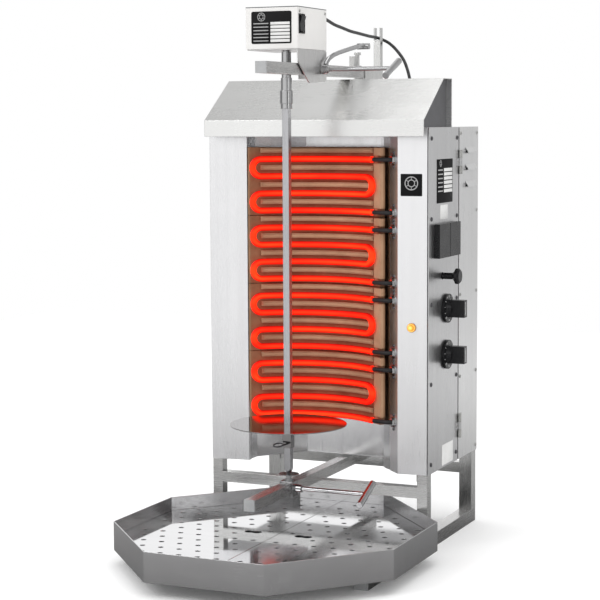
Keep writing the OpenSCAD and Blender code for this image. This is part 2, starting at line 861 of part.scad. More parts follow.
module control_bodies() {
    color("black") {
        for (z = knob_zs)
            difference() {
                translate([half_w - 44, knob_y - 18, z - 20]) cube([43.9, 36, 40]);
                rod_x(half_w - 30, knob_y, z, 6.2, 35);
            }
        for (y = flap_ys)
            difference() {
                translate([half_w - 32, y + 15, flap_z + 15])
                    cube([33.5, flap_w - 30, flap_h - 30]);
                translate([half_w - 12, y + 18, flap_z + 18])
                    cube([20, flap_w - 36, flap_h - 36]);
            }
        difference() {
            rod_x(half_w - 32, push_y, push_z, 22, 31.9);
            rod_x(half_w - 28, push_y, push_z, 12.2, 35);
        }
    }
}

// Control knob: a dial plate with a wing grip
module control_knob(z) {
    face = half_w + sheet_t + 0.4;
    color("black") {
        rod_x(half_w - 20, knob_y, z, 6, 24);
        rod_x(face, knob_y, z, 54, 5);
        translate([face + 5, knob_y, z]) rotate([0, 90, 0]) cylinder(d1 = 36, d2 = 24, h = 8);
        translate([face + 5, knob_y - 8, z - 16]) cube([32, 16, 32]);
    }
}
module knob_upper() { control_knob(knob_zs[0]); }
module knob_lower() { control_knob(knob_zs[1]); }

module push_button() {
    color("black") {
        rod_x(half_w - 16, push_y, push_z, 12, 18 + 24);
        translate([half_w + 22, push_y, push_z]) rotate([0, 90, 0]) {
            cylinder(d1 = 13, d2 = 26, h = 6);
            translate([0, 0, 6]) cylinder(d = 29, h = 5);
            translate([0, 0, 11]) cylinder(d1 = 29, d2 = 22, h = 3);
        }
    }
}

// Cover over a switch, hinged on a barrel along its top edge
module switch_flap(y) {
    x0 = half_w + sheet_t + 0.2;
    wall = 2;
    barrel = 3;
    color("black") {
        translate([x0 + barrel, y, flap_z + flap_h - barrel])
            rotate([-90, 0, 0]) cylinder(r = barrel, h = flap_w);
        difference() {
            translate([x0, y, flap_z]) cube([flap_depth, flap_w, flap_h]);
            translate([x0 - 1, y + wall, flap_z + wall])
                cube([flap_depth - wall + 1, flap_w - 2 * wall, flap_h - 2 * wall]);
            translate([x0 - 1, y - 1, flap_z + flap_h - barrel])
                cube([barrel + 1, flap_w + 2, barrel + 1]);
        }
    }
}
module flap_front() { switch_flap(flap_ys[0]); }
module flap_rear() { switch_flap(flap_ys[1]); }

// Rocker under a flap, in the mouth of its switch body
module heater_rocker(y) {
    profile = [[-8, -9.5], [-8, 9.5], [0, 11.5], [6.5, 11.5], [3, 0], [4, -11.5], [0, -11.5]];
    color("black")
        translate([half_w + sheet_t, y + flap_w / 2 + 9, flap_z + flap_h / 2])
            rotate([90, 0, 0]) {
                linear_extrude(18) polygon(profile);
                translate([0, 0, -0.7]) cylinder(d = 4, h = 19.4);
            }
}
module rocker_front() { heater_rocker(flap_ys[0]); }
module rocker_rear() { heater_rocker(flap_ys[1]); }

// ---------- drip tray ----------

module tray_shape(inset) {
    polygon(inset == 0 ? tray_outline : [for (i = [0 : len(tray_outline) - 1]) inset_point(i, inset)]);
}
function inset_point(i, d) =
    let (n = len(tray_outline),
         a = segment_normal(tray_outline[(i + n - 1) % n], tray_outline[i]),
         b = segment_normal(tray_outline[i], tray_outline[(i + 1) % n]))
    tray_outline[i] + (a + b) * d / (1 + a * b);

module drip_tray() {
    wall = 1.5;
    ledge = 8;
    color("silver")
        difference() {
            translate([0, 0, tray_z]) linear_extrude(tray_h) tray_shape(0);
            translate([0, 0, insert_z]) linear_extrude(tray_h) tray_shape(wall);
            translate([0, 0, tray_z + wall]) linear_extrude(insert_z - tray_z - 2 * wall)
                tray_shape(wall);
            translate([0, 0, tray_z + wall]) linear_extrude(tray_h) tray_shape(wall + ledge);
        }
}

// One half of the perforated insert; side is -1 for the left and +1 for the right
module insert_half(side) {
    x_far = tray_half_w - 3;
    color("gainsboro")
        difference() {
            translate([0, 0, insert_z + 0.2]) linear_extrude(1.2)
                intersection() {
                    tray_shape(2.5);
                    translate([side > 0 ? 0.5 : -x_far - 1, -400]) square([x_far + 0.5, 700]);
                }
            for (row = [0 : 15])
                for (col = [0 : 6]) {
                    x = side * (22 + col * hole_step + (row % 2) * hole_step / 2);
                    y = tray_front + 22 + row * hole_step;
                    if (drain_inside(x, y))
                        translate([x, y, insert_z - 1]) cylinder(d = hole_d, h = 4, $fn = 16);
                }
            translate([side * 49, -81, insert_z - 1])
                for (dx = [-7, 7])
                    translate([dx, 0, 0]) cylinder(d = 18, h = 4);
        }
}
function drain_inside(x, y) =
    abs(x) < tray_half_w - 16
    && abs(x) + (y - 14) * 0.9 < tray_half_w - 18
    && abs(x) + (-202 - y) * 0.9 < tray_half_w - 18
    && y < 198 && norm([abs(x) - 49, y + 81]) > 30;
module insert_left() { insert_half(-1); }
module insert_right() { insert_half(1); }

base_rails();
tube_caps();
cross_frame();
rear_legs();
lower_arm();
left_side_panel();
chamber_sheet();
control_box_front();
louvre_panel();
cabinet_shell();
hood();
hood_cheeks();
tile_1();
tile_2();
tile_3();
tile_4();
element_1();
element_2();
element_3();
element_4();
terminal_bushings();
pilot_lamp();
door_hinges();
terminal_block();
arm_post();
upper_arm();
arm_stop();
cable_glands();
motor_cable();
mains_cable();
mains_coil();
mains_plug();
saddle();
foot_bearing();
lower_clamp();
spit_bar();
meat_plate();
plate_pin();
motor_bracket();
motor_housing();
motor_lid();
gearmotor();
motor_switch();
upper_clamp();
clamp_lever();
motor_shaft();
drive_sleeve();
door();
door_screws();
control_bodies();
knob_upper();
knob_lower();
push_button();
flap_front();
flap_rear();
rocker_front();
rocker_rear();
drip_tray();
insert_left();
insert_right();
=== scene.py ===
"""Looks of a vertical rotisserie broiler: camera, cords, materials, small fittings and a plain studio."""

import math

import bmesh
import bpy
from mathutils import Matrix, Vector


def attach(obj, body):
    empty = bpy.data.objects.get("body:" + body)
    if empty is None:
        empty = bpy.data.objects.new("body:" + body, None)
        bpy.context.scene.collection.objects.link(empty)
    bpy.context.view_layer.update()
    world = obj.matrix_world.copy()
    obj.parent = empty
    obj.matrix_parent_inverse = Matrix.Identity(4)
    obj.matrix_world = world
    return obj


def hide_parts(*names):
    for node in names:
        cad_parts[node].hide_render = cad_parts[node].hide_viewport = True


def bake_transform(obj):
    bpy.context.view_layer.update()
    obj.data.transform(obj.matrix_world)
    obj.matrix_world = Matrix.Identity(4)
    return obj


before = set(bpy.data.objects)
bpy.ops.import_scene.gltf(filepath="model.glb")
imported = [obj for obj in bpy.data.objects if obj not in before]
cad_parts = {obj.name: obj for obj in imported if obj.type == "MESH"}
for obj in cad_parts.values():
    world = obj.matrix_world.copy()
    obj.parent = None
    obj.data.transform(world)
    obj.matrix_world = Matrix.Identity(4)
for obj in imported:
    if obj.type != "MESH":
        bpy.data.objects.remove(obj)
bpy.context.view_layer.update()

MM = 0.001

# faces and places that the pieces below are set on, in millimetres
SPIT_Y = -34
DOOR_FACE = 219.5
LEFT_FACE = -219.5
BACK_FACE = 376
MOTOR_FRONT = -64
MOTOR_LEFT, MOTOR_RIGHT = -64, 36
KNOB_Y = 194
KNOB_UPPER_Z, KNOB_LOWER_Z = 438, 352
HINGE_ZS = (184, 684)
LEAF_FACE = DOOR_FACE + 1.5


def mm(*values):
    return Vector(values) * MM


# ---------- camera ----------

CAMERA_AT = (1.2819, -2.8565, 0.786)
CAMERA_AZIMUTH = math.radians(24.02)
CAMERA_PITCH = math.radians(5.88)
CAMERA_ROLL = math.radians(-0.30)
LENS_MM = 104.8


def make_camera():
    """The photo's viewpoint, solved from the machine's straight edges."""
    data = bpy.data.cameras.new("camera")
    data.sensor_width = 36
    data.lens = LENS_MM
    camera = bpy.data.objects.new("camera", data)
    ahead = Vector((
        -math.sin(CAMERA_AZIMUTH) * math.cos(CAMERA_PITCH),
        math.cos(CAMERA_AZIMUTH) * math.cos(CAMERA_PITCH),
        -math.sin(CAMERA_PITCH),
    ))
    turn = ahead.to_track_quat("-Z", "Y").to_matrix().to_4x4()
    camera.matrix_world = Matrix.Translation(CAMERA_AT) @ turn @ Matrix.Rotation(CAMERA_ROLL, 4, "Z")
    bpy.context.scene.collection.objects.link(camera)
    bpy.context.scene.camera = camera


make_camera()

# ---------- node helpers ----------


class Shader:
    """A material's node tree with short ways to add what its surface needs."""

    def __init__(self, name):
        self.material = bpy.data.materials.new(name)
        self.material.use_nodes = True
        self.tree = self.material.node_tree
        self.surface = self.tree.nodes["Principled BSDF"]
        self.place = self.add("ShaderNodeTexCoord").outputs["Object"]

    def add(self, kind, **inputs):
        node = self.tree.nodes.new(kind)
        for key, value in inputs.items():
            socket = node.inputs[int(key[1:]) if key[0] == "i" and key[1:].isdigit() else key]
            if isinstance(value, bpy.types.NodeSocket):
                self.tree.links.new(value, socket)
            else:
                socket.default_value = value
        return node

    def link(self, output, name):
        self.tree.links.new(output, self.surface.inputs[name])

    def stretched(self, scale):
        return self.add("ShaderNodeMapping", Vector=self.place, Scale=scale).outputs[0]

    def noise(self, vector, scale, detail=3.0, rough=0.55):
        return self.add(
            "ShaderNodeTexNoise", Vector=vector, Scale=scale, Detail=detail, Roughness=rough
        ).outputs["Fac"]

    def remap(self, value, low, high, from_low=0.3, from_high=0.7):
        node = self.add("ShaderNodeMapRange", Value=value)
        node.inputs["From Min"].default_value = from_low
        node.inputs["From Max"].default_value = from_high
        node.inputs["To Min"].default_value = low
        node.inputs["To Max"].default_value = high
        return node.outputs[0]

    def blend(self, fac, first, second):
        node = self.tree.nodes.new("ShaderNodeMix")
        node.data_type = "RGBA"
        sockets = {"Factor": fac, "A": first, "B": second}
        for name, value in sockets.items():
            socket = [s for s in node.inputs if s.name == name and s.type in ("RGBA", "VALUE")]
            socket = [s for s in socket if (s.type == "VALUE") == (name == "Factor")][0]
            if isinstance(value, bpy.types.NodeSocket):
                self.tree.links.new(value, socket)
            else:
                socket.default_value = value
        return [s for s in node.outputs if s.type == "RGBA"][0]

    def math(self, operation, first, second=0.0):
        node = self.tree.nodes.new("ShaderNodeMath")
        node.operation = operation
        for socket, value in zip(node.inputs, (first, second)):
            if isinstance(value, bpy.types.NodeSocket):
                self.tree.links.new(value, socket)
            else:
                socket.default_value = value
        return node.outputs[0]

    def axis(self, name):
        return self.add("ShaderNodeSeparateXYZ", Vector=self.place).outputs[name]

    def radius_from_spit(self):
        back = self.math("SUBTRACT", self.axis("Y"), SPIT_Y * MM)
        x = self.axis("X")
        squares = self.math("ADD", self.math("MULTIPLY", x, x), self.math("MULTIPLY", back, back))
        return self.math("SQRT", squares)

    def soft_edges(self, radius):
        node = self.add("ShaderNodeBevel", Radius=radius)
        node.samples = 4
        return node.outputs[0]

    def bump(self, height, strength, distance=0.0004, edges=0.0):
        node = self.add("ShaderNodeBump", Height=height, Strength=strength, Distance=distance)
        if edges:
            self.tree.links.new(self.soft_edges(edges), node.inputs["Normal"])
        self.link(node.outputs[0], "Normal")


def rgb(r, g, b):
    return (r, g, b, 1.0)


def brushed_metal(name, tone, along, rough, grain, cloud):
    """Stainless sheet or tube with its grain running along one axis."""
    s = Shader(name)
    fine = {"x": (30, 2600, 2600), "y": (2600, 30, 2600), "z": (2600, 2600, 30)}[along]
    broad = {"x": (2, 60, 60), "y": (60, 2, 60), "z": (60, 60, 2)}[along]
    lines = s.noise(s.stretched(fine), 1.0, 2.0)
    bands = s.noise(s.stretched(broad), 1.0, 3.0)
    smudge = s.noise(s.place, 7.0, 4.0, 0.6)
    worn = s.math("ADD", s.remap(bands, -0.5, 0.5), s.remap(smudge, -0.5, 0.5))
    dark = rgb(*(c * (1 - 2.2 * cloud) for c in tone))
    s.link(s.blend(s.remap(worn, 0, 1, -0.6, 0.6), dark, rgb(*tone)), "Base Color")
    low, high = rough
    spread = s.math("ADD", s.remap(lines, low, high), s.remap(smudge, -0.03, 0.05))
    s.link(spread, "Roughness")
    s.surface.inputs["Metallic"].default_value = 1.0
    s.bump(lines, grain, 0.0002, edges=0.0012)
    return s.material


def moulded_plastic(name, tone, rough, grain):
    """Plastic or glazed clay with fine pores and a little dust."""
    s = Shader(name)
    pores = s.noise(s.place, 2200.0, 2.0)
    dust = s.noise(s.place, 40.0, 4.0, 0.65)
    pale = rgb(*(c * 1.6 + 0.004 for c in tone))
    s.link(s.blend(s.remap(dust, 0, 0.55, 0.45, 0.8), rgb(*tone), pale), "Base Color")
    s.link(s.remap(dust, rough - 0.06, rough + 0.10), "Roughness")
    s.surface.inputs["Specular IOR Level"].default_value = 0.28
    s.bump(pores, grain, 0.00015, edges=0.0009)
    return s.material


def fired_clay():
    """Brown plate with painted shade where it lies back between the ribs; the ribs and the lip, which stand
    nearer the spit, are painted paler as if lit.
    """
    s = Shader("refractory_ceramic")
    cloud = s.noise(s.place, 22.0, 5.0, 0.6)
    grit = s.noise(s.place, 900.0, 3.0, 0.7)
    # painted light and shade: the plate between the ribs is darkened as if in shade, and the ribs and lip
    # nearer the spit are made paler as if lit
    lit_ribs_mask = s.remap(s.radius_from_spit(), 1.0, 0.0, 0.1880, 0.1895)
    plate = s.blend(s.remap(cloud, 0, 1), rgb(0.20, 0.105, 0.055), rgb(0.30, 0.165, 0.09))
    lit_rib_tone = s.blend(s.remap(cloud, 0, 1), rgb(0.38, 0.22, 0.13), rgb(0.50, 0.30, 0.185))
    tan = s.blend(lit_ribs_mask, plate, lit_rib_tone)
    speck = s.blend(s.remap(grit, 0, 0.6, 0.58, 0.72), tan, rgb(0.16, 0.085, 0.045))
    s.link(speck, "Base Color")
    s.surface.inputs["Roughness"].default_value = 0.85
    s.surface.inputs["Specular IOR Level"].default_value = 0.2
    s.bump(grit, 0.3, 0.0004, edges=0.0012)
    return s.material


def hot_tube():
    """Glowing sheath, orange along the middle of each tube as a painted highlight and dimmer, deeper red
    above and below as painted shade; beyond the last bend to the right it is a cold black sleeve.
    """
    s = Shader("glowing_tube")
    back = s.math("SUBTRACT", s.axis("Y"), SPIT_Y * MM)
    bearing = s.math("ARCTAN2", s.axis("X"), back)
    hot = s.remap(bearing, 1.0, 0.0, 0.678, 0.682)
    normal = s.add("ShaderNodeTexCoord").outputs["Normal"]
    steep = s.math("ABSOLUTE", s.add("ShaderNodeSeparateXYZ", Vector=normal).outputs["Z"])
    # painted shade: the glow is dimmer where the tube faces up or down
    shade = s.remap(steep, 1.7, 0.30, 0.45, 1.0)
    patches = s.noise(s.stretched((7, 7, 24)), 1.0, 3.0)
    core = s.blend(s.remap(patches, 0, 1), rgb(1.0, 0.014, 0.003), rgb(1.0, 0.050, 0.007))
    # painted highlight and shade: orange where the tube faces sideways, deeper red where it faces up or down
    glow_highlight_and_shade = s.blend(s.remap(steep, 0.0, 1.0, 0.15, 0.7), core, rgb(1.0, 0.006, 0.002))
    s.link(glow_highlight_and_shade, "Emission Color")
    glow = s.math("MULTIPLY", shade, s.remap(patches, 0.92, 1.12))
    s.link(s.math("MULTIPLY", hot, glow), "Emission Strength")
    s.link(s.blend(hot, rgb(0.014, 0.014, 0.015), rgb(0.05, 0.003, 0.002)), "Base Color")
    s.link(s.remap(s.noise(s.place, 300.0), 0.42, 0.62), "Roughness")
    s.link(s.remap(hot, 0.4, 0.08, 0.0, 1.0), "Specular IOR Level")
    return s.material


def amber_lens():
    """The lit pilot lamp, brightest where it faces out."""
    s = Shader("amber_lens")
    glow = s.noise(s.place, 260.0, 2.0)
    normal = s.add("ShaderNodeTexCoord").outputs["Normal"]
    facing_out = s.remap(s.add("ShaderNodeSeparateXYZ", Vector=normal).outputs["Y"], 1.0, 0.0, -0.98, -0.55)
    lit = s.math("MULTIPLY", facing_out, s.remap(glow, 0.7, 1.0))
    core = s.blend(lit, rgb(0.95, 0.19, 0.01), rgb(1.0, 0.62, 0.12))
    s.link(core, "Base Color")
    s.link(core, "Emission Color")
    s.surface.inputs["Emission Strength"].default_value = 0.75
    s.surface.inputs["Roughness"].default_value = 0.15
    s.surface.inputs["Coat Weight"].default_value = 0.5
    return s.material


def cord_rubber(name):
    """Black rubber with pale scuffs."""
    s = Shader(name)
    scuff = s.noise(s.place, 120.0, 5.0, 0.65)
    worn = s.remap(scuff, 0, 1, 0.45, 0.8)
    s.link(s.blend(worn, rgb(0.012, 0.012, 0.013), rgb(0.05, 0.05, 0.052)), "Base Color")
    s.link(s.remap(scuff, 0.34, 0.54), "Roughness")
    s.bump(s.noise(s.place, 1500.0, 2.0), 0.15, 0.0002)
    return s.material


def soft_paint(name, tone, rough, shine):
    """Paint, or the print of a label."""
    s = Shader(name)
    s.surface.inputs["Specular IOR Level"].default_value = shine
    peel = s.noise(s.place, 650.0, 2.0)
    cloud = s.noise(s.place, 9.0, 4.0)
    deep = rgb(*(c * 0.9 for c in tone))
    s.link(s.blend(s.remap(cloud, 0, 1), deep, rgb(*tone)), "Base Color")
    s.link(s.remap(cloud, rough - 0.05, rough + 0.08), "Roughness")
    s.bump(peel, 0.08, 0.0003, edges=0.0008)
    return s.material


BRIGHT = (0.86, 0.86, 0.87)
SATIN = (0.70, 0.70, 0.69)
BLACK = (0.007, 0.007, 0.008)

# painted light and shade: besides finish, these tones carry light and shade as lit and shaded copies of one
# stainless steel, brighter for the control box front (sheet_front) and darker for the door (door_sheet), the
# lengthwise tubes (tube_along), the drip tray (tray_sheet) and the meat plate (mirror_plate)
# name: tone, grain direction, roughness from and to, grain depth, cloudiness
METALS = {
    "sheet_upright": (BRIGHT, "z", (0.24, 0.36), 0.02, 0.03),
    "sheet_across": ((0.82, 0.82, 0.81), "x", (0.25, 0.28), 0.004, 0.012),
    "sheet_front": ((0.90, 0.90, 0.91), "z", (0.28, 0.40), 0.02, 0.02),
    "door_sheet": ((0.66, 0.66, 0.665), "z", (0.26, 0.38), 0.02, 0.03),
    "rear_sheet": ((0.80, 0.80, 0.80), "z", (0.26, 0.38), 0.02, 0.03),
    "liner": (BRIGHT, "z", (0.12, 0.22), 0.02, 0.03),
    "tube_along": ((0.60, 0.595, 0.59), "y", (0.20, 0.32), 0.03, 0.06),
    "tube_across": (SATIN, "x", (0.20, 0.32), 0.03, 0.06),
    "tube_upright": (SATIN, "z", (0.20, 0.32), 0.03, 0.06),
    "mirror_plate": ((0.30, 0.29, 0.29), "x", (0.05, 0.10), 0.01, 0.02),
    "tray_sheet": ((0.62, 0.62, 0.625), "x", (0.14, 0.24), 0.02, 0.03),
    "insert_sheet": ((0.72, 0.72, 0.73), "x", (0.03, 0.07), 0.008, 0.02),
    "turned": ((0.50, 0.50, 0.505), "z", (0.12, 0.20), 0.02, 0.06),
    "bracket_sheet": ((0.66, 0.655, 0.65), "z", (0.26, 0.36), 0.02, 0.03),
    "bar": ((0.50, 0.50, 0.515), "z", (0.20, 0.30), 0.03, 0.06),
    "zinc": ((0.62, 0.62, 0.60), "x", (0.22, 0.36), 0.05, 0.08),
    "dark_steel": ((0.16, 0.16, 0.17), "x", (0.30, 0.46), 0.05, 0.08),
    "brass": ((0.75, 0.55, 0.25), "y", (0.18, 0.30), 0.05, 0.06),
}
# name: tone, roughness, grain depth
PLASTICS = {
    "black_plastic": (BLACK, 0.42, 0.15),
    "gloss_black": ((0.006, 0.006, 0.007), 0.22, 0.04),
    "flap_black": (BLACK, 0.26, 0.15),
    "cap_grey": ((0.36, 0.365, 0.37), 0.44, 0.15),
    "steatite": ((0.78, 0.74, 0.66), 0.30, 0.05),
}
# name: tone, roughness, shine
PAINTS = {
    "motor_case": ((0.74, 0.73, 0.715), 0.42, 0.5),
    "lid_grey": ((0.09, 0.095, 0.10), 0.38, 0.5),
    "cast": ((0.35, 0.36, 0.38), 0.5, 0.5),
    "label_dark": ((0.004, 0.004, 0.0045), 0.55, 0.15),
    "label_pale": ((0.72, 0.72, 0.71), 0.38, 0.5),
    "label_grey": ((0.38, 0.38, 0.38), 0.38, 0.5),
}
LOOKS = {"clay": fired_clay(), "glow": hot_tube(), "amber": amber_lens(), "cord": cord_rubber("cord")}
LOOKS |= {name: brushed_metal(name, *rest) for name, rest in METALS.items()}
LOOKS |= {name: moulded_plastic(name, *rest) for name, rest in PLASTICS.items()}
LOOKS |= {name: soft_paint(name, *rest) for name, rest in PAINTS.items()}

NODE_LOOKS = {
    "tube_along": ["base_rails", "lower_arm", "upper_arm"],
    "tube_across": ["cross_frame"],
    "tube_upright": ["rear_legs", "arm_post", "arm_stop"],
    "cap_grey": ["tube_caps"],
    "sheet_upright": ["left_side_panel", "cabinet_shell"],
    "rear_sheet": ["louvre_panel"],
    "sheet_front": ["control_box_front"],
    "door_sheet": ["door"],
    "sheet_across": ["hood"],
    "dark_steel": ["hood_cheeks", "plate_pin", "door_screws"],
    "liner": ["chamber_sheet"],
    "clay": ["tile_1", "tile_2", "tile_3", "tile_4"],
    "glow": ["element_1", "element_2", "element_3", "element_4"],
    "zinc": ["door_hinges"],
    "amber": ["pilot_lamp"],
    "steatite": ["terminal_block"],
    "black_plastic": ["cable_glands", "control_bodies", "mains_plug"],
    "cord": ["motor_cable", "mains_cable", "mains_coil"],
    "turned": ["saddle", "foot_bearing", "lower_clamp", "upper_clamp", "clamp_lever", "motor_shaft",
               "drive_sleeve", "terminal_bushings"],
    "bracket_sheet": ["motor_bracket"],
    "bar": ["spit_bar"],
    "mirror_plate": ["meat_plate"],
    "motor_case": ["motor_housing"],
    "lid_grey": ["motor_lid"],
    "cast": ["gearmotor"],
    "gloss_black": ["motor_switch", "knob_upper", "knob_lower", "push_button", "rocker_front",
                    "rocker_rear"],
    "flap_black": ["flap_front", "flap_rear"],
    "tray_sheet": ["drip_tray"],
    "insert_sheet": ["insert_left", "insert_right"],
}
for look, names in NODE_LOOKS.items():
    for name in names:
        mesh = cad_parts[name].data
        mesh.materials.clear()
        mesh.materials.append(LOOKS[look])

# ---------- piece helpers ----------


def piece(name, mesh, look, body, smooth=35.0):
    """A mesh piece in the row frame that rides on a body, or on none yet."""
    obj = bpy.data.objects.new(name, mesh)
    bpy.context.scene.collection.objects.link(obj)
    mesh.materials.append(LOOKS[look])
    mesh.shade_smooth()
    mesh.set_sharp_from_angle(angle=math.radians(smooth))
    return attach(obj, body) if body else obj


def from_bmesh(name, bm, look, body, place=Matrix.Identity(4)):
    """Moves a bmesh to its place, makes it a piece and frees it."""
    bm.transform(place)
    bmesh.ops.recalc_face_normals(bm, faces=bm.faces)
    mesh = bpy.data.meshes.new(name)
    bm.to_mesh(mesh)
    bm.free()
    return piece(name, mesh, look, body)


def rounded_slab(size, corner, depth_edge, segments=4):
    """A slab centred on its back face, with round corners in plan and a soft front edge; +Z is its front."""
    bm = bmesh.new()
    bmesh.ops.create_cube(bm, size=1.0)
    bmesh.ops.scale(bm, vec=size, verts=bm.verts)
    bmesh.ops.translate(bm, vec=(0, 0, size[2] / 2), verts=bm.verts)
    upright = [e for e in bm.edges if abs(e.verts[0].co.z - e.verts[1].co.z) > size[2] / 2]
    bmesh.ops.bevel(bm, geom=upright, offset=corner, segments=segments, affect="EDGES", profile=0.5)
    rim = [e for e in bm.edges if all(v.co.z > size[2] * 0.99 for v in e.verts) and len(e.link_faces) == 2
           and any(abs(f.normal.z) < 0.5 for f in e.link_faces)]
    bmesh.ops.bevel(bm, geom=rim, offset=depth_edge, segments=2, affect="EDGES", profile=0.5)
    return bm


def turned(profile, sides=32):
    """A lathe body about +Z from (radius, height) points; ends on the axis are closed."""
    bm = bmesh.new()
    rings = []
    for r, z in profile:
        if r < 1e-6:
            rings.append([bm.verts.new((0, 0, z))])
        else:
            turns = [2 * math.pi * k / sides for k in range(sides)]
            rings.append([bm.verts.new((r * math.cos(a), r * math.sin(a), z)) for a in turns])
    for a, b in zip(rings, rings[1:]):
        for k in range(sides):
            loop = [a[k % len(a)], a[(k + 1) % len(a)], b[(k + 1) % len(b)], b[k % len(b)]]
            corners = list(dict.fromkeys(loop))
            if len(corners) > 2:
                bm.faces.new(corners)
    return bm


def turned_mm(profile, sides=32):
    return turned([(r * MM, z * MM) for r, z in profile], sides)


def joined(parts):
    """One mesh from several, each with its own place."""
    whole = bmesh.new()
    for part, place in parts:
        part.transform(place)
        mesh = bpy.data.meshes.new("part")
        part.to_mesh(mesh)
        part.free()
        whole.from_mesh(mesh)
        bpy.data.meshes.remove(mesh)
    return whole


def facing(point, normal, up=(0, 0, 1)):
    """Places local +Z along normal and local +Y towards up, at a point."""
    z = Vector(normal).normalized()
    x = Vector(up).cross(z).normalized()
    y = z.cross(x)
    turn = Matrix((x, y, z)).transposed().to_4x4()
    return Matrix.Translation(point) @ turn


def curve_piece(name, points, radius, look, body, resolution=6):
    """A round cord or rod along smooth points in the row frame."""
    curve = bpy.data.curves.new(name, "CURVE")
    curve.dimensions = "3D"
    curve.bevel_depth = radius
    curve.bevel_resolution = 5
    curve.use_fill_caps = True
    curve.resolution_u = resolution
    spline = curve.splines.new("POLY")
    spline.points.add(len(points) - 1)
    for target, point in zip(spline.points, points):
        target.co = (*point, 1.0)
    curve.materials.append(LOOKS[look])
    obj = bpy.data.objects.new(name, curve)
    bpy.context.scene.collection.objects.link(obj)
    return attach(obj, body)


def swept_rod(points, radius, sides=20):
    """A mesh rod along points, with flat ends; radius is one value or one for each point."""
    bm = bmesh.new()
    rings = []
    radii = radius if isinstance(radius, list) else [radius] * len(points)
    side = Vector((1, 0, 0)) if abs((points[1] - points[0]).normalized().x) < 0.8 else Vector((0, 0, 1))
    for k, point in enumerate(points):
        along = (points[min(k + 1, len(points) - 1)] - points[max(k - 1, 0)]).normalized()
        side = (side - side.dot(along) * along).normalized()
        across = along.cross(side)
        rings.append([bm.verts.new(point + radii[k] * (math.cos(a) * side + math.sin(a) * across))
                      for a in (2 * math.pi * n / sides for n in range(sides))])
    for a, b in zip(rings, rings[1:]):
        for n in range(sides):
            bm.faces.new((a[n], a[(n + 1) % sides], b[(n + 1) % sides], b[n]))
    bm.faces.new(rings[0][::-1])
    bm.faces.new(rings[-1])
    return bm


def smooth_path(points, steps=4):
    """Catmull-Rom points through the given ones."""
    points = [Vector(p) for p in points]
    padded = [2 * points[0] - points[1], *points, 2 * points[-1] - points[-2]]
    path = []
    for a, b, c, d in zip(padded, padded[1:], padded[2:], padded[3:]):
        for k in range(steps):
            t = k / steps
            path.append(0.5 * (2 * b + (c - a) * t + (2 * a - 5 * b + 4 * c - d) * t ** 2
                               + (3 * b - a - 3 * c + d) * t ** 3))
    return [*path, points[-1]]


# ---------- cords ----------

CORD_D = 0.011
COIL_AT = mm(-10, 283, 0)
COIL_R = 60.5 * MM
COIL_TURNS = 4.25
COIL_LANE = 11.2 * MM
COIL_LAYER = 10.4 * MM
COIL_FLOOR = 5.8 * MM
TIE_RADIUS = 0.6 * MM
PLUG_END = mm(-70, 349, 27)
CORD_ROUTE = [
    (196, 131, 114), (196, 131, 100), (195, 132, 86), (192, 135, 72), (188, 140, 58),
    (184, 146, 44), (180, 154, 31), (176, 164, 20), (172, 177, 12), (167, 191, 8),
    (158, 204, 6), (145, 214, 6), (129, 221, 6), (112, 226, 6), (95, 233, 6),
    (80, 243, 6), (68, 256, 6), (60, 270, 6),
]


def smooth_step(value, low, high):
    t = min(max((value - low) / (high - low), 0.0), 1.0)
    return t * t * (3 - 2 * t)


def coil_points():
    """Turns that start at the outer bottom, go in, climb, and come back out on top."""
    points = []
    steps = 20
    for number in range(int(COIL_TURNS * steps)):
        turn = number / steps
        lane = sum(smooth_step(turn, at, at + 0.3) * change for at, change in ((0.85, -1), (2.85, 1)))
        climb = smooth_step(turn, 1.8, 2.15)
        r = COIL_R + (lane + 0.5) * COIL_LANE
        angle = 2 * math.pi * turn
        height = COIL_FLOOR + COIL_LAYER * climb
        points.append(COIL_AT + Vector((r * math.cos(angle), r * math.sin(angle), height)))
    return points


PLUG_PINS = 5


def make_plug():
    """An industrial plug: grip, body and a shroud round its pins."""
    profile = [
        (0, 0), (9, 0), (9, 6), (12.5, 7), (12.5, 9), (10.5, 10), (10.5, 12), (15, 13), (16, 15), (23, 37),
        (25.2, 37.5), (27, 39), (27, 44), (25.8, 45), (25.8, 75), (27, 76), (27, 82), (26, 83), (24, 83),
        (23.4, 82), (23.4, 50), (0, 50),
    ]
    parts = [(turned_mm(profile), Matrix.Identity(4))]
    for k in range(PLUG_PINS):
        angle = 2 * math.pi * k / PLUG_PINS
        pin = turned_mm([(3, 49), (3, 76), (2.2, 78), (0, 78)], 16)
        parts.append((pin, Matrix.Translation(mm(13 * math.cos(angle), 13 * math.sin(angle), 0))))
    plug = from_bmesh("plug_body", joined(parts), "black_plastic", "frame",
                      facing(PLUG_END, (-1, 0, 0)))
    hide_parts("mains_plug")
    return plug


def make_mains_cord():
    """The lead from the cabinet to the floor and its tied coil, ending in the plug."""
    tail = [mm(-26, 349, 17), mm(-40, 349, 20), mm(-55, 349, 24.5), PLUG_END]
    path = smooth_path([mm(*p) for p in CORD_ROUTE] + coil_points() + tail)
    cord = curve_piece("mains_cord", path, CORD_D / 2, "cord", "frame")
    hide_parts("mains_cable", "mains_coil")
    taper = [(9.5, 0), (9.5, -4), (8.4, -8), (7.4, -22), (6.3, -34), (5.7, -35), (5.5, -20)]
    relief = from_bmesh("cord_strain_relief", turned_mm(taper), "black_plastic", "frame",
                        Matrix.Translation(mm(196, 131, 116)))
    plug = make_plug()
    for number, angle in enumerate((0.6, 2.7)):
        outward = Vector((math.cos(angle), math.sin(angle), 0))
        middle = COIL_AT + COIL_R * outward + mm(0, 0, 11.6)
        ring = [middle + 12.2 * MM * (math.cos(t) * outward + 0.88 * math.sin(t) * Vector((0, 0, 1)))
                for t in (2 * math.pi * k / 24 for k in range(25))]
        curve_piece(f"coil_tie_{number + 1}", ring, TIE_RADIUS, "black_plastic", "frame")


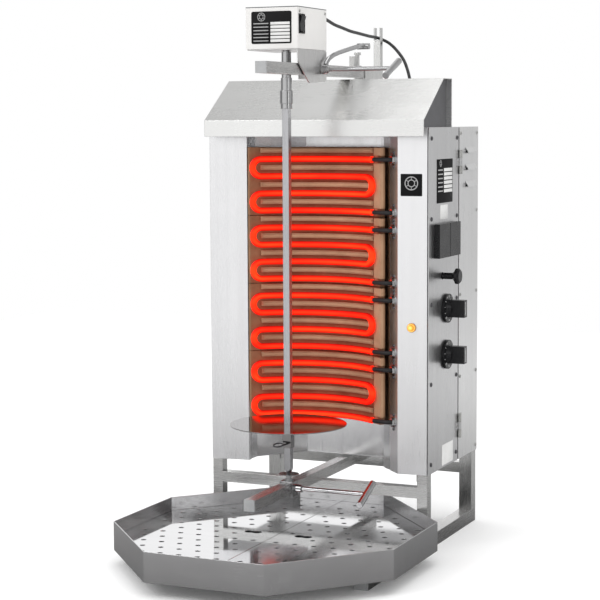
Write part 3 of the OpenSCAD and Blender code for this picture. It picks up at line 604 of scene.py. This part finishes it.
LEAD_D = 0.006
LEAD_ROUTE = [
    (30, 62, 967), (30, 70, 967), (29, 90, 964), (28, 120, 959), (27, 160, 955), (26, 200, 951),
    (25, 240, 949), (24, 280, 947), (22, 310, 946), (22, 335, 945.5), (22, 347, 945),
    (22.6, 356, 944), (26.5, 365, 941.5), (36, 371, 936), (48, 372, 926), (60, 368.5, 914),
    (72, 361, 901), (82, 352, 885), (91, 342, 866), (97, 333, 846), (101, 324, 826),
    (103, 318, 806), (104, 315, 792), (104, 314, 784),
]


def make_motor_lead():
    """Bends along the upper arm between the sliding motor and the cabinet's top."""
    path = smooth_path([mm(*p) for p in LEAD_ROUTE])
    lead = from_bmesh("motor_lead", swept_rod(path, LEAD_D / 2, 14), "cord", None)
    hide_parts("motor_cable")
    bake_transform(lead)


make_mains_cord()
make_motor_lead()

# ---------- heating elements ----------

ELEMENT_R = 176
RUN_PITCH = 32
TOP_RUN_Z = 714
RUNS = 4
ELEMENTS = 4
LEFT_END, RIGHT_END, LEAD_START = -40.5, 31.6, 35.5
WALL_POINT = (150, 137.5)
WALL_NORMAL = (0.72, 0.694)
HOT_RADIUS, COLD_RADIUS = 6, 4
KNEE_SIZE = 4.5


def on_ring(degrees, z):
    """A point of the elements' circle about the spit; 0 degrees is straight behind it, + is to the right."""
    angle = math.radians(degrees)
    return Vector((ELEMENT_R * math.sin(angle), SPIT_Y + ELEMENT_R * math.cos(angle), z))


def run_arc(first, last, z, step=2.5):
    """Points along one run, between two bearings in degrees."""
    count = math.ceil(abs(last - first) / step)
    return [on_ring(first + (last - first) * k / count, z) for k in range(count + 1)]


def half_turn(degrees, z, way):
    """The bend from one run down to the next, at its left (-1) or right (1) end."""
    angle = math.radians(degrees)
    along = way * Vector((math.cos(angle), -math.sin(angle), 0))
    r = RUN_PITCH / 2
    return [on_ring(degrees, z - r + r * math.cos(a)) + r * math.sin(a) * along
            for a in (math.pi * k / 12 for k in range(1, 12))]


def cold_lead(z):
    """From inside the control box through the terminal wall and round a knee towards the first run."""
    wall = Vector((WALL_POINT[0], SPIT_Y + WALL_POINT[1], z))
    inner, knee = (wall + d * Vector((*WALL_NORMAL, 0)) for d in (24, -11))
    last = on_ring(LEAD_START + 3, z)
    first = knee + KNEE_SIZE * (inner - knee).normalized()
    then = knee + KNEE_SIZE * (last - knee).normalized()
    bend = [(1 - t) ** 2 * first + 2 * t * (1 - t) * knee + t ** 2 * then for t in (k / 6 for k in range(7))]
    return [inner, *bend, last]


def make_element(number):
    """One tube in four runs, with a thinner cold end through the wall above and below."""
    tops = [TOP_RUN_Z - (number * RUNS + k) * RUN_PITCH for k in range(RUNS)]
    lead_in, lead_out = cold_lead(tops[0]), cold_lead(tops[-1])[::-1]
    hot = (run_arc(LEAD_START + 1.6, LEFT_END, tops[0]) + half_turn(LEFT_END, tops[0], -1)
           + run_arc(LEFT_END, RIGHT_END, tops[1]) + half_turn(RIGHT_END, tops[1], 1)
           + run_arc(RIGHT_END, LEFT_END, tops[2]) + half_turn(LEFT_END, tops[2], -1)
           + run_arc(LEFT_END, LEAD_START + 1.6, tops[3]))
    collar_in, collar_out = on_ring(LEAD_START + 2, tops[0]), on_ring(LEAD_START + 2, tops[3])
    points = [p * MM for p in [*lead_in, collar_in, *hot, collar_out, *lead_out]]
    cold = len(lead_in) + 1
    radii = [r * MM for r in [COLD_RADIUS] * cold + [HOT_RADIUS] * len(hot) + [COLD_RADIUS] * cold]
    tube = from_bmesh(f"heating_tube_{number + 1}", swept_rod(points, radii, 24), "glow", "frame")
    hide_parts(f"element_{number + 1}")


for number in range(ELEMENTS):
    make_element(number)

# ---------- small fittings ----------

RIGHT, FRONT, LEFT, BACK = (1, 0, 0), (0, -1, 0), (-1, 0, 0), (0, 1, 0)
BOX_FRONT = Vector((6, -56, 0)).normalized()
PLATE_THICK = 0.6
PRINT_THICK = 0.25


def plate(name, at, normal, size, look, body, slot, corner=1.5, thick=PLATE_THICK):
    """A thin plate with round corners on a surface; at is the middle of its back, in millimetres."""
    slab = rounded_slab((size[0] * MM, size[1] * MM, thick * MM), corner * MM, 0.3 * thick * MM)
    return from_bmesh(name, slab, look, body, facing(mm(*at), normal))


def screw_head(radius, height):
    """A domed head with a round socket."""
    profile = [(1, 0), (1, 0.35), (0.85, 0.75), (0.52, 1), (0.45, 0.98), (0.42, 0.35), (0, 0.3)]
    return turned([(r * radius, z * height) for r, z in profile], 18)


def screws(name, places, radius, height, look, body):
    """One piece of many heads; places holds a point in millimetres and an outward direction for each."""
    parts = [(screw_head(radius * MM, height * MM), facing(mm(*at), normal)) for at, normal in places]
    return from_bmesh(name, joined(parts), look, body)


def ring_ornament(name, at, normal, radius, body):
    """A plain double ring with spokes, in place of a maker's sign."""
    r = radius * MM
    t = PRINT_THICK * MM
    bands = [turned([(outer * r, 0), (outer * r, t), (inner * r, t), (inner * r, 0)], sides)
             for outer, inner, sides in ((1, 0.86, 40), (0.55, 0.43, 32))]
    parts = [(band, Matrix.Identity(4)) for band in bands]
    for k in range(6):
        spoke = rounded_slab((0.1 * r, 0.34 * r, t), 0.03 * r, 0.05 * MM)
        parts.append((spoke, Matrix.Rotation(k * math.pi / 3, 4, "Z") @ Matrix.Translation((0, 0.7 * r, 0))))
    return from_bmesh(name, joined(parts), "label_grey", body, facing(mm(*at), normal))


def blank_rows(name, at, normal, size, count, body, look="label_pale", fill=0.78):
    """Empty fields, one above the other; at is the middle of the block."""
    pitch = size[1] / count
    parts = []
    for k in range(count):
        slab = rounded_slab((size[0] * MM, pitch * fill * MM, PRINT_THICK * MM), 0.3 * MM, 0.08 * MM)
        parts.append((slab, Matrix.Translation(mm(0, (k + 0.5 - count / 2) * pitch, 0))))
    return from_bmesh(name, joined(parts), look, body, facing(mm(*at), normal))


def make_labels():
    """Blank plates and stickers where the machine carries its signs."""
    face = Vector((187.2, 94.05, 669))
    plate("emblem_plate", face, BOX_FRONT, (40, 40), "label_dark", "frame", "gloss_black")
    ring_ornament("emblem_ring", face + BOX_FRONT * PLATE_THICK + Vector((0, 0, 3)), BOX_FRONT, 12.5, "frame")

    middle = Vector((DOOR_FACE, 182, 674))
    plate("rating_plate", middle, RIGHT, (86, 80), "label_dark", "door", "gloss_black")
    middle.x += PLATE_THICK
    blank_rows("rating_rows", middle + Vector((0, 17, 1)), RIGHT, (46, 46), 6, "door")
    blank_rows("rating_names", middle + Vector((0, -25, 1)), RIGHT, (26, 46), 6, "door", "label_grey", 0.3)
    ring_ornament("rating_ring", middle + Vector((0, -24, 32)), RIGHT, 6, "door")
    stickers = (("label_upper", 178, 617, (42, 27)), ("label_lower", 202, 164.5, (62, 39)))
    for name, y, z, size in stickers:
        plate(name, (DOOR_FACE, y, z), RIGHT, size, "label_pale", "door", "white_paint", thick=0.3)

    middle = Vector((-14.5, MOTOR_FRONT, 947))
    plate("motor_plate", middle, FRONT, (77, 56), "label_dark", "motor_carriage", "gloss_black", corner=3)
    middle.y -= PLATE_THICK
    blank_rows("motor_rows", middle + Vector((17, 0, -8)), FRONT, (37, 36), 6, "motor_carriage")
    blank_rows("motor_names", middle + Vector((-20, 0, -8)), FRONT, (29, 36), 6, "motor_carriage",
               "label_grey", 0.3)
    ring_ornament("motor_ring", middle + Vector((-19, 0, 18.5)), FRONT, 7.5, "motor_carriage")


def make_lamp_bezel():
    """A turned ring round the pilot lamp."""
    ring = turned_mm([(8.6, 0), (8.6, 1.2), (7.9, 1.9), (7.1, 1.9), (7.1, 0), (8.6, 0)], 36)
    from_bmesh("lamp_bezel", ring, "brass", "frame", facing(mm(188, 93.2, 411), BOX_FRONT))


def make_switch_bezel():
    """A soft-edged frame round the motor's rocker switch."""
    outer, inner = (24, 34), (20.6, 30.6)
    bm = bmesh.new()
    rings = []
    for (w, h), z in ((outer, 0), (outer, 1.4), ((23, 33), 2), ((21.2, 31.2), 2), (inner, 1.2), (inner, 0)):
        rings.append([bm.verts.new((sx * w / 2 * MM, sy * h / 2 * MM, z * MM))
                      for sx, sy in ((-1, -1), (1, -1), (1, 1), (-1, 1))])
    for a, b in zip(rings, rings[1:] + rings[:1]):
        for k in range(4):
            bm.faces.new((a[k], a[(k + 1) % 4], b[(k + 1) % 4], b[k]))
    from_bmesh("switch_bezel", bm, "black_plastic", "motor_carriage",
               facing(mm(MOTOR_RIGHT, -48.5, 953), RIGHT))


DISC_FACE = DOOR_FACE + 5.4
GRIP_FACE = DOOR_FACE + 37.4


def make_dial(name, z):
    """Ticks and a dot on the disc of a control knob and a line on its grip, which turn with it."""
    parts = []
    for k in range(11):
        length = 5.5 if k % 5 == 0 else 3.5
        tick = rounded_slab((1.1 * MM, length * MM, PRINT_THICK * MM), 0.3 * MM, 0.08 * MM)
        turn = Matrix.Rotation(math.radians(135 - 27 * k), 4, "Z")
        parts.append((tick, turn @ Matrix.Translation(mm(0, 25.2 - length / 2, 0))))
    dot = turned_mm([(1.6, 0), (1.6, 0.2), (1.3, 0.3), (0, 0.3)], 16)
    parts.append((dot, Matrix.Translation(mm(0, -22, 0))))
    from_bmesh(name + "_scale", joined(parts), "label_pale", name,
               facing(mm(DISC_FACE, KNOB_Y, z), RIGHT))
    pointer = rounded_slab((1.6 * MM, 26 * MM, 0.3 * MM), 0.5 * MM, 0.08 * MM)
    from_bmesh(name + "_pointer", pointer, "label_pale", name,
               facing(mm(GRIP_FACE, KNOB_Y, z), RIGHT))


def make_screws():
    """Clamp screws of the terminals, and the screws and rivets of panels and hinges."""
    terminal_z = [TOP_RUN_Z - (RUNS * e + r) * RUN_PITCH for e in range(ELEMENTS) for r in (0, RUNS - 1)]
    inward = Vector((-WALL_NORMAL[0], -WALL_NORMAL[1], 0))
    wall = Vector((WALL_POINT[0], SPIT_Y + WALL_POINT[1], 0)) + 0.05 * inward
    clamps = [(wall + Vector((0, 0, z + side)), inward) for z in terminal_z for side in (-13, 13)]
    screws("terminal_screws", clamps, 2.8, 2.4, "dark_steel", "frame")
    rear = [((DOOR_FACE, y, z), RIGHT) for y in (272, 368) for z in (152, 300, 456, 612, 760)
            if not (y == 272 and z in (152, 612))]
    screws("rear_panel_screws", rear, 3.4, 1.8, "zinc", "frame")
    box = [((x, y, 975), side) for x, side in ((MOTOR_RIGHT, RIGHT), (MOTOR_LEFT, LEFT)) for y in (-57, 55)]
    screws("motor_box_screws", box, 2.6, 1.6, "zinc", "motor_carriage")
    leaves = [((LEAF_FACE, 273, z + up), RIGHT) for z in HINGE_ZS for up in (7.5, 37.5)]
    screws("hinge_rivets_frame", leaves, 2.4, 1.2, "zinc", "frame")
    leaves = [((LEAF_FACE, 253, z + 22.5), RIGHT) for z in HINGE_ZS]
    screws("hinge_rivets_door", leaves, 2.4, 1.2, "zinc", "door")
    back = [((x, BACK_FACE, z), BACK) for x in (-205, -70, 70, 205) for z in (155, 456, 758)]
    back += [((x, BACK_FACE, z), BACK) for x in (-205, 205) for z in (305, 610)]
    screws("back_screws", back, 3.4, 1.8, "zinc", "frame")
    left = [((LEFT_FACE, y, z), LEFT) for y in (110, 365) for z in (155, 456, 758)]
    screws("left_panel_screws", left, 3.4, 1.8, "zinc", "frame")


make_labels()
make_lamp_bezel()
make_switch_bezel()
make_dial("knob_upper", KNOB_UPPER_Z)
make_dial("knob_lower", KNOB_LOWER_Z)
make_screws()

# ---------- studio ----------

# what polished steel sees: brightness by bearing, from behind the machine round by its left, front and right,
# and by height, from straight down to straight up
SCREENS_AROUND = [
    (0.0, 0.75), (0.065, 1.15), (0.15, 0.95), (0.26, 0.22), (0.33, 0.30), (0.36, 1.00), (0.50, 1.05),
    (0.56, 0.90), (0.62, 0.18), (0.70, 0.22), (0.76, 0.80), (0.84, 0.35), (0.90, 0.66), (0.97, 0.72),
    (1.0, 0.75),
]
SCREENS_UP = [(0.0, 0.25), (0.30, 0.35), (0.42, 0.85), (0.50, 1.0), (0.70, 1.0), (0.85, 0.80), (1.0, 0.55)]


def make_floor():
    """White, but polished steel sees it darker near the machine."""
    floor_mesh = bpy.data.meshes.new("floor")
    corners = [(-2.6, -2.6, 0), (2.6, -2.6, 0), (2.6, 3.4, 0), (-2.6, 3.4, 0)]
    floor_mesh.from_pydata(corners, [], [(0, 1, 2, 3)])
    floor = bpy.data.objects.new("floor", floor_mesh)
    bpy.context.scene.collection.objects.link(floor)
    s = Shader("studio_floor")
    mirror = s.add("ShaderNodeLightPath").outputs["Is Glossy Ray"]
    pale = s.blend(s.remap(s.noise(s.place, 1.5), 0, 1), rgb(0.95, 0.95, 0.95), rgb(0.98, 0.98, 0.98))
    away = s.remap(s.radius_from_spit(), 0.0, 1.0, 0.35, 2.2)
    seen = s.blend(away, rgb(0.22, 0.22, 0.22), rgb(0.80, 0.80, 0.80))
    s.link(s.blend(mirror, pale, seen), "Base Color")
    s.surface.inputs["Emission Color"].default_value = rgb(1, 1, 1)
    s.link(s.remap(mirror, 0.06, 0.0, 0.0, 1.0), "Emission Strength")
    s.surface.inputs["Roughness"].default_value = 0.8
    s.surface.inputs["Specular IOR Level"].default_value = 0.0
    floor_mesh.materials.append(s.material)


def make_world():
    """White light all round; polished steel sees light and dark screens instead."""
    world = bpy.data.worlds.new("studio")
    bpy.context.scene.world = world
    world.use_nodes = True
    tree = world.node_tree

    def add(kind, *links, **settings):
        node = tree.nodes.new(kind)
        for key, value in settings.items():
            setattr(node, key, value)
        for socket, output in links:
            tree.links.new(output, node.inputs[socket])
        return node

    def ramp(output, steps):
        node = add("ShaderNodeValToRGB", (0, output))
        while len(node.color_ramp.elements) < len(steps):
            node.color_ramp.elements.new(0.5)
        for element, (at, level) in zip(node.color_ramp.elements, steps):
            element.position = at
            element.color = (level, level, level, 1.0)
        return node.outputs[0]

    sky = add("ShaderNodeTexCoord").outputs["Generated"]
    split = add("ShaderNodeSeparateXYZ", (0, sky))
    ahead = add("ShaderNodeMath", (0, split.outputs["Y"]), operation="MULTIPLY")
    ahead.inputs[1].default_value = -1.0
    bearing = add("ShaderNodeMath", (0, split.outputs["X"]), (1, ahead.outputs[0]), operation="ARCTAN2")
    turn = add("ShaderNodeMapRange", (0, bearing.outputs[0]))
    turn.inputs["From Min"].default_value = -math.pi
    turn.inputs["From Max"].default_value = math.pi
    height = add("ShaderNodeMapRange", (0, split.outputs["Z"]))
    height.inputs["From Min"].default_value = -1
    screens = add("ShaderNodeMix", (6, ramp(turn.outputs[0], SCREENS_AROUND)),
                  (7, ramp(height.outputs[0], SCREENS_UP)), data_type="RGBA", blend_type="MULTIPLY")
    screens.inputs[0].default_value = 1.0
    mirror = add("ShaderNodeLightPath").outputs["Is Glossy Ray"]
    light = add("ShaderNodeMix", (0, mirror), (7, screens.outputs[2]), data_type="RGBA")
    light.inputs[6].default_value = (1.0, 1.0, 1.0, 1.0)
    tree.links.new(light.outputs[2], tree.nodes["Background"].inputs["Color"])


def area_light(name, at, aim, size, power):
    data = bpy.data.lights.new(name, "AREA")
    data.shape = "RECTANGLE"
    data.size, data.size_y = size
    data.energy = power
    light = bpy.data.objects.new(name, data)
    toward = (Vector(aim) - Vector(at)).to_track_quat("-Z", "Y")
    light.matrix_world = Matrix.Translation(at) @ toward.to_matrix().to_4x4()
    bpy.context.scene.collection.objects.link(light)


make_floor()
make_world()
area_light("key", (-1.7, -2.2, 2.3), (0, 0, 0.5), (1.3, 1.6), 26)
area_light("fill", (2.6, -1.4, 1.5), (0, 0, 0.5), (0.9, 1.8), 8)
area_light("top", (0.2, 0.3, 2.9), (0, 0, 0.4), (1.6, 1.6), 14)
bpy.context.scene.view_settings.view_transform = "Standard"
